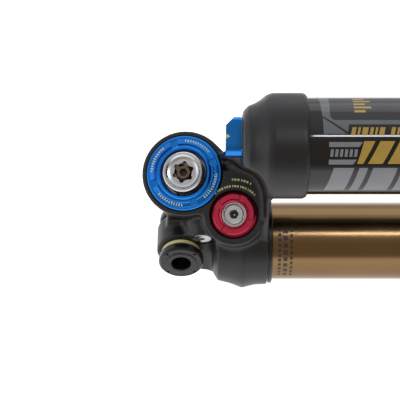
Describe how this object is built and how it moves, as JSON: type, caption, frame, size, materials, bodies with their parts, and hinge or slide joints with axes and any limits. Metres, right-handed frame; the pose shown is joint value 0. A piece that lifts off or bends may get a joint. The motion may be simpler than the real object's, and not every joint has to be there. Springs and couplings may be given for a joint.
{
  "type": "rear shock absorber",
  "caption": "Mountain-bike rear air shock with piggyback reservoir, slanted adjuster block, firm-mode lever and flanged eyelet hardware; the air can slides over a bronze-gold body tube.",
  "frame": {"origin": "centre of the bolt bore in the head eyelet", "axes": "+X along the damper to the far eyelet, +Y along the eyelet bolt, +Z towards the reservoir"},
  "size_m": [0.2556, 0.0631, 0.1049],
  "materials": {
    "cast_black": "satin black paint on cast aluminium",
    "anodised_black": "satin black anodised",
    "anodised_gold": "hard-anodised bronze gold, polished",
    "gloss_black": "gloss black",
    "anodised_blue": "blue anodised",
    "anodised_red": "red anodised",
    "stainless": "turned stainless steel",
    "hard_chrome": "ground and plated",
    "bronze": "turned bronze",
    "raw_aluminium": "machined",
    "black_rubber": "moulded rubber",
    "cream_seal": "moulded cream polyurethane",
    "glide_polymer": "low-friction polymer",
    "black_plastic": "moulded black plastic"
  },
  "bodies": {
    "head": {"head_casting": "cast_black", "body_tube": "anodised_gold", "tube_lock_ring": "anodised_black", "inner_damper_tube": "raw_aluminium", "seal_head": "raw_aluminium", "compression_cap": "anodised_blue", "compression_valve": "raw_aluminium", "rebound_cap": "anodised_red", "rebound_valve": "raw_aluminium", "rebound_circlip": "stainless", "plug_screw": "stainless", "air_piston": "raw_aluminium", "air_piston_seal": "black_rubber", "top_out_bumper": "black_rubber", "reservoir_tube": "gloss_black", "reservoir_end_cap": "anodised_black", "end_cap_seal": "black_rubber", "charge_screw": "stainless", "head_bushing": "glide_polymer"},
    "air_can_body": {"damper_shaft": "hard_chrome", "damper_piston": "raw_aluminium", "piston_band": "glide_polymer", "piston_shims": "stainless", "piston_nut": "stainless", "air_can": "anodised_black", "can_head": "anodised_black", "wiper_seal": "black_rubber", "can_seal": "black_rubber", "shaft_eyelet": "cast_black", "bump_stop": "black_rubber", "air_valve_body": "raw_aluminium", "shaft_bushing": "glide_polymer"},
    "floating_piston_body": {"floating_piston": "raw_aluminium", "floating_piston_seal": "black_rubber"},
    "high_speed_dial": {"hsc_adjuster": "stainless"},
    "low_speed_dial": {"lsc_adjuster": "bronze"},
    "rebound_dial": {"lsr_adjuster": "stainless"},
    "lever_body": {"firm_lever": "anodised_blue", "lever_spindle": "stainless", "lever_screw": "stainless"},
    "head_pin_body": {"head_pin": "anodised_black", "head_seal_rings": "cream_seal", "head_spacers": "anodised_black"},
    "shaft_pin_body": {"shaft_pin": "anodised_black", "shaft_seal_rings": "cream_seal", "shaft_spacers": "anodised_black"},
    "sag_ring_body": {"sag_ring": "black_rubber"},
    "valve_cap_body": {"air_valve_cap": "black_plastic"},
    "valve_core_body": {"air_valve_core": "bronze"}
  },
  "joints": [
    {"name": "shock_travel", "type": "slide", "parent": "head", "child": "air_can_body", "axis": [-1, 0, 0], "range_m": [0, 0.065], "stiffness_N_per_m": 9000, "springref_m": -0.02},
    {"name": "floating_piston_travel", "type": "slide", "parent": "head", "child": "floating_piston_body", "axis": [1, 0, 0], "range_m": [0, 0.0095]},
    {"name": "sag_ring_slide", "type": "slide", "parent": "head", "child": "sag_ring_body", "axis": [-1, 0, 0], "range_m": [0, 0.065]},
    {"name": "high_speed_turn", "type": "hinge", "parent": "head", "child": "high_speed_dial", "pos_m": [0.0014, 0.0069, 0.0329], "axis": [-0.1305, -0.5687, 0.8121], "range_deg": [0, 315]},
    {"name": "low_speed_turn", "type": "hinge", "parent": "head", "child": "low_speed_dial", "pos_m": [0.0014, 0.0069, 0.0329], "axis": [-0.1305, -0.5687, 0.8121], "range_deg": [0, 360]},
    {"name": "rebound_turn", "type": "hinge", "parent": "head", "child": "rebound_dial", "pos_m": [0.02106, -0.00836, 0.02538], "axis": [-0.1305, -0.5687, 0.8121], "range_deg": [0, 360]},
    {"name": "lever_swing", "type": "hinge", "parent": "head", "child": "lever_body", "pos_m": [0.0208, 0, 0.055], "axis": [1, 0, 0], "range_deg": [0, 55]},
    {"name": "head_pin_turn", "type": "hinge", "parent": "head", "child": "head_pin_body", "pos_m": [0, 0, 0], "axis": [0, 1, 0], "continuous": true},
    {"name": "shaft_pin_turn", "type": "hinge", "parent": "air_can_body", "child": "shaft_pin_body", "pos_m": [0.23, 0, 0], "axis": [0, 1, 0], "continuous": true},
    {"name": "valve_cap_pull", "type": "slide", "parent": "air_can_body", "child": "valve_cap_body", "axis": [0, -0.766, -0.6428], "range_m": [0, 0.012]},
    {"name": "valve_core_press", "type": "slide", "parent": "air_can_body", "child": "valve_core_body", "axis": [0, 0.766, 0.6428], "range_m": [0, 0.0012], "stiffness_N_per_m": 600, "springref_m": -0.001}
  ],
  "couplings": [
    {"joint": "floating_piston_travel", "follows": "shock_travel", "ratio": 0.13952},
    {"joint": "sag_ring_slide", "follows": "shock_travel", "ratio": 1}
  ]
}
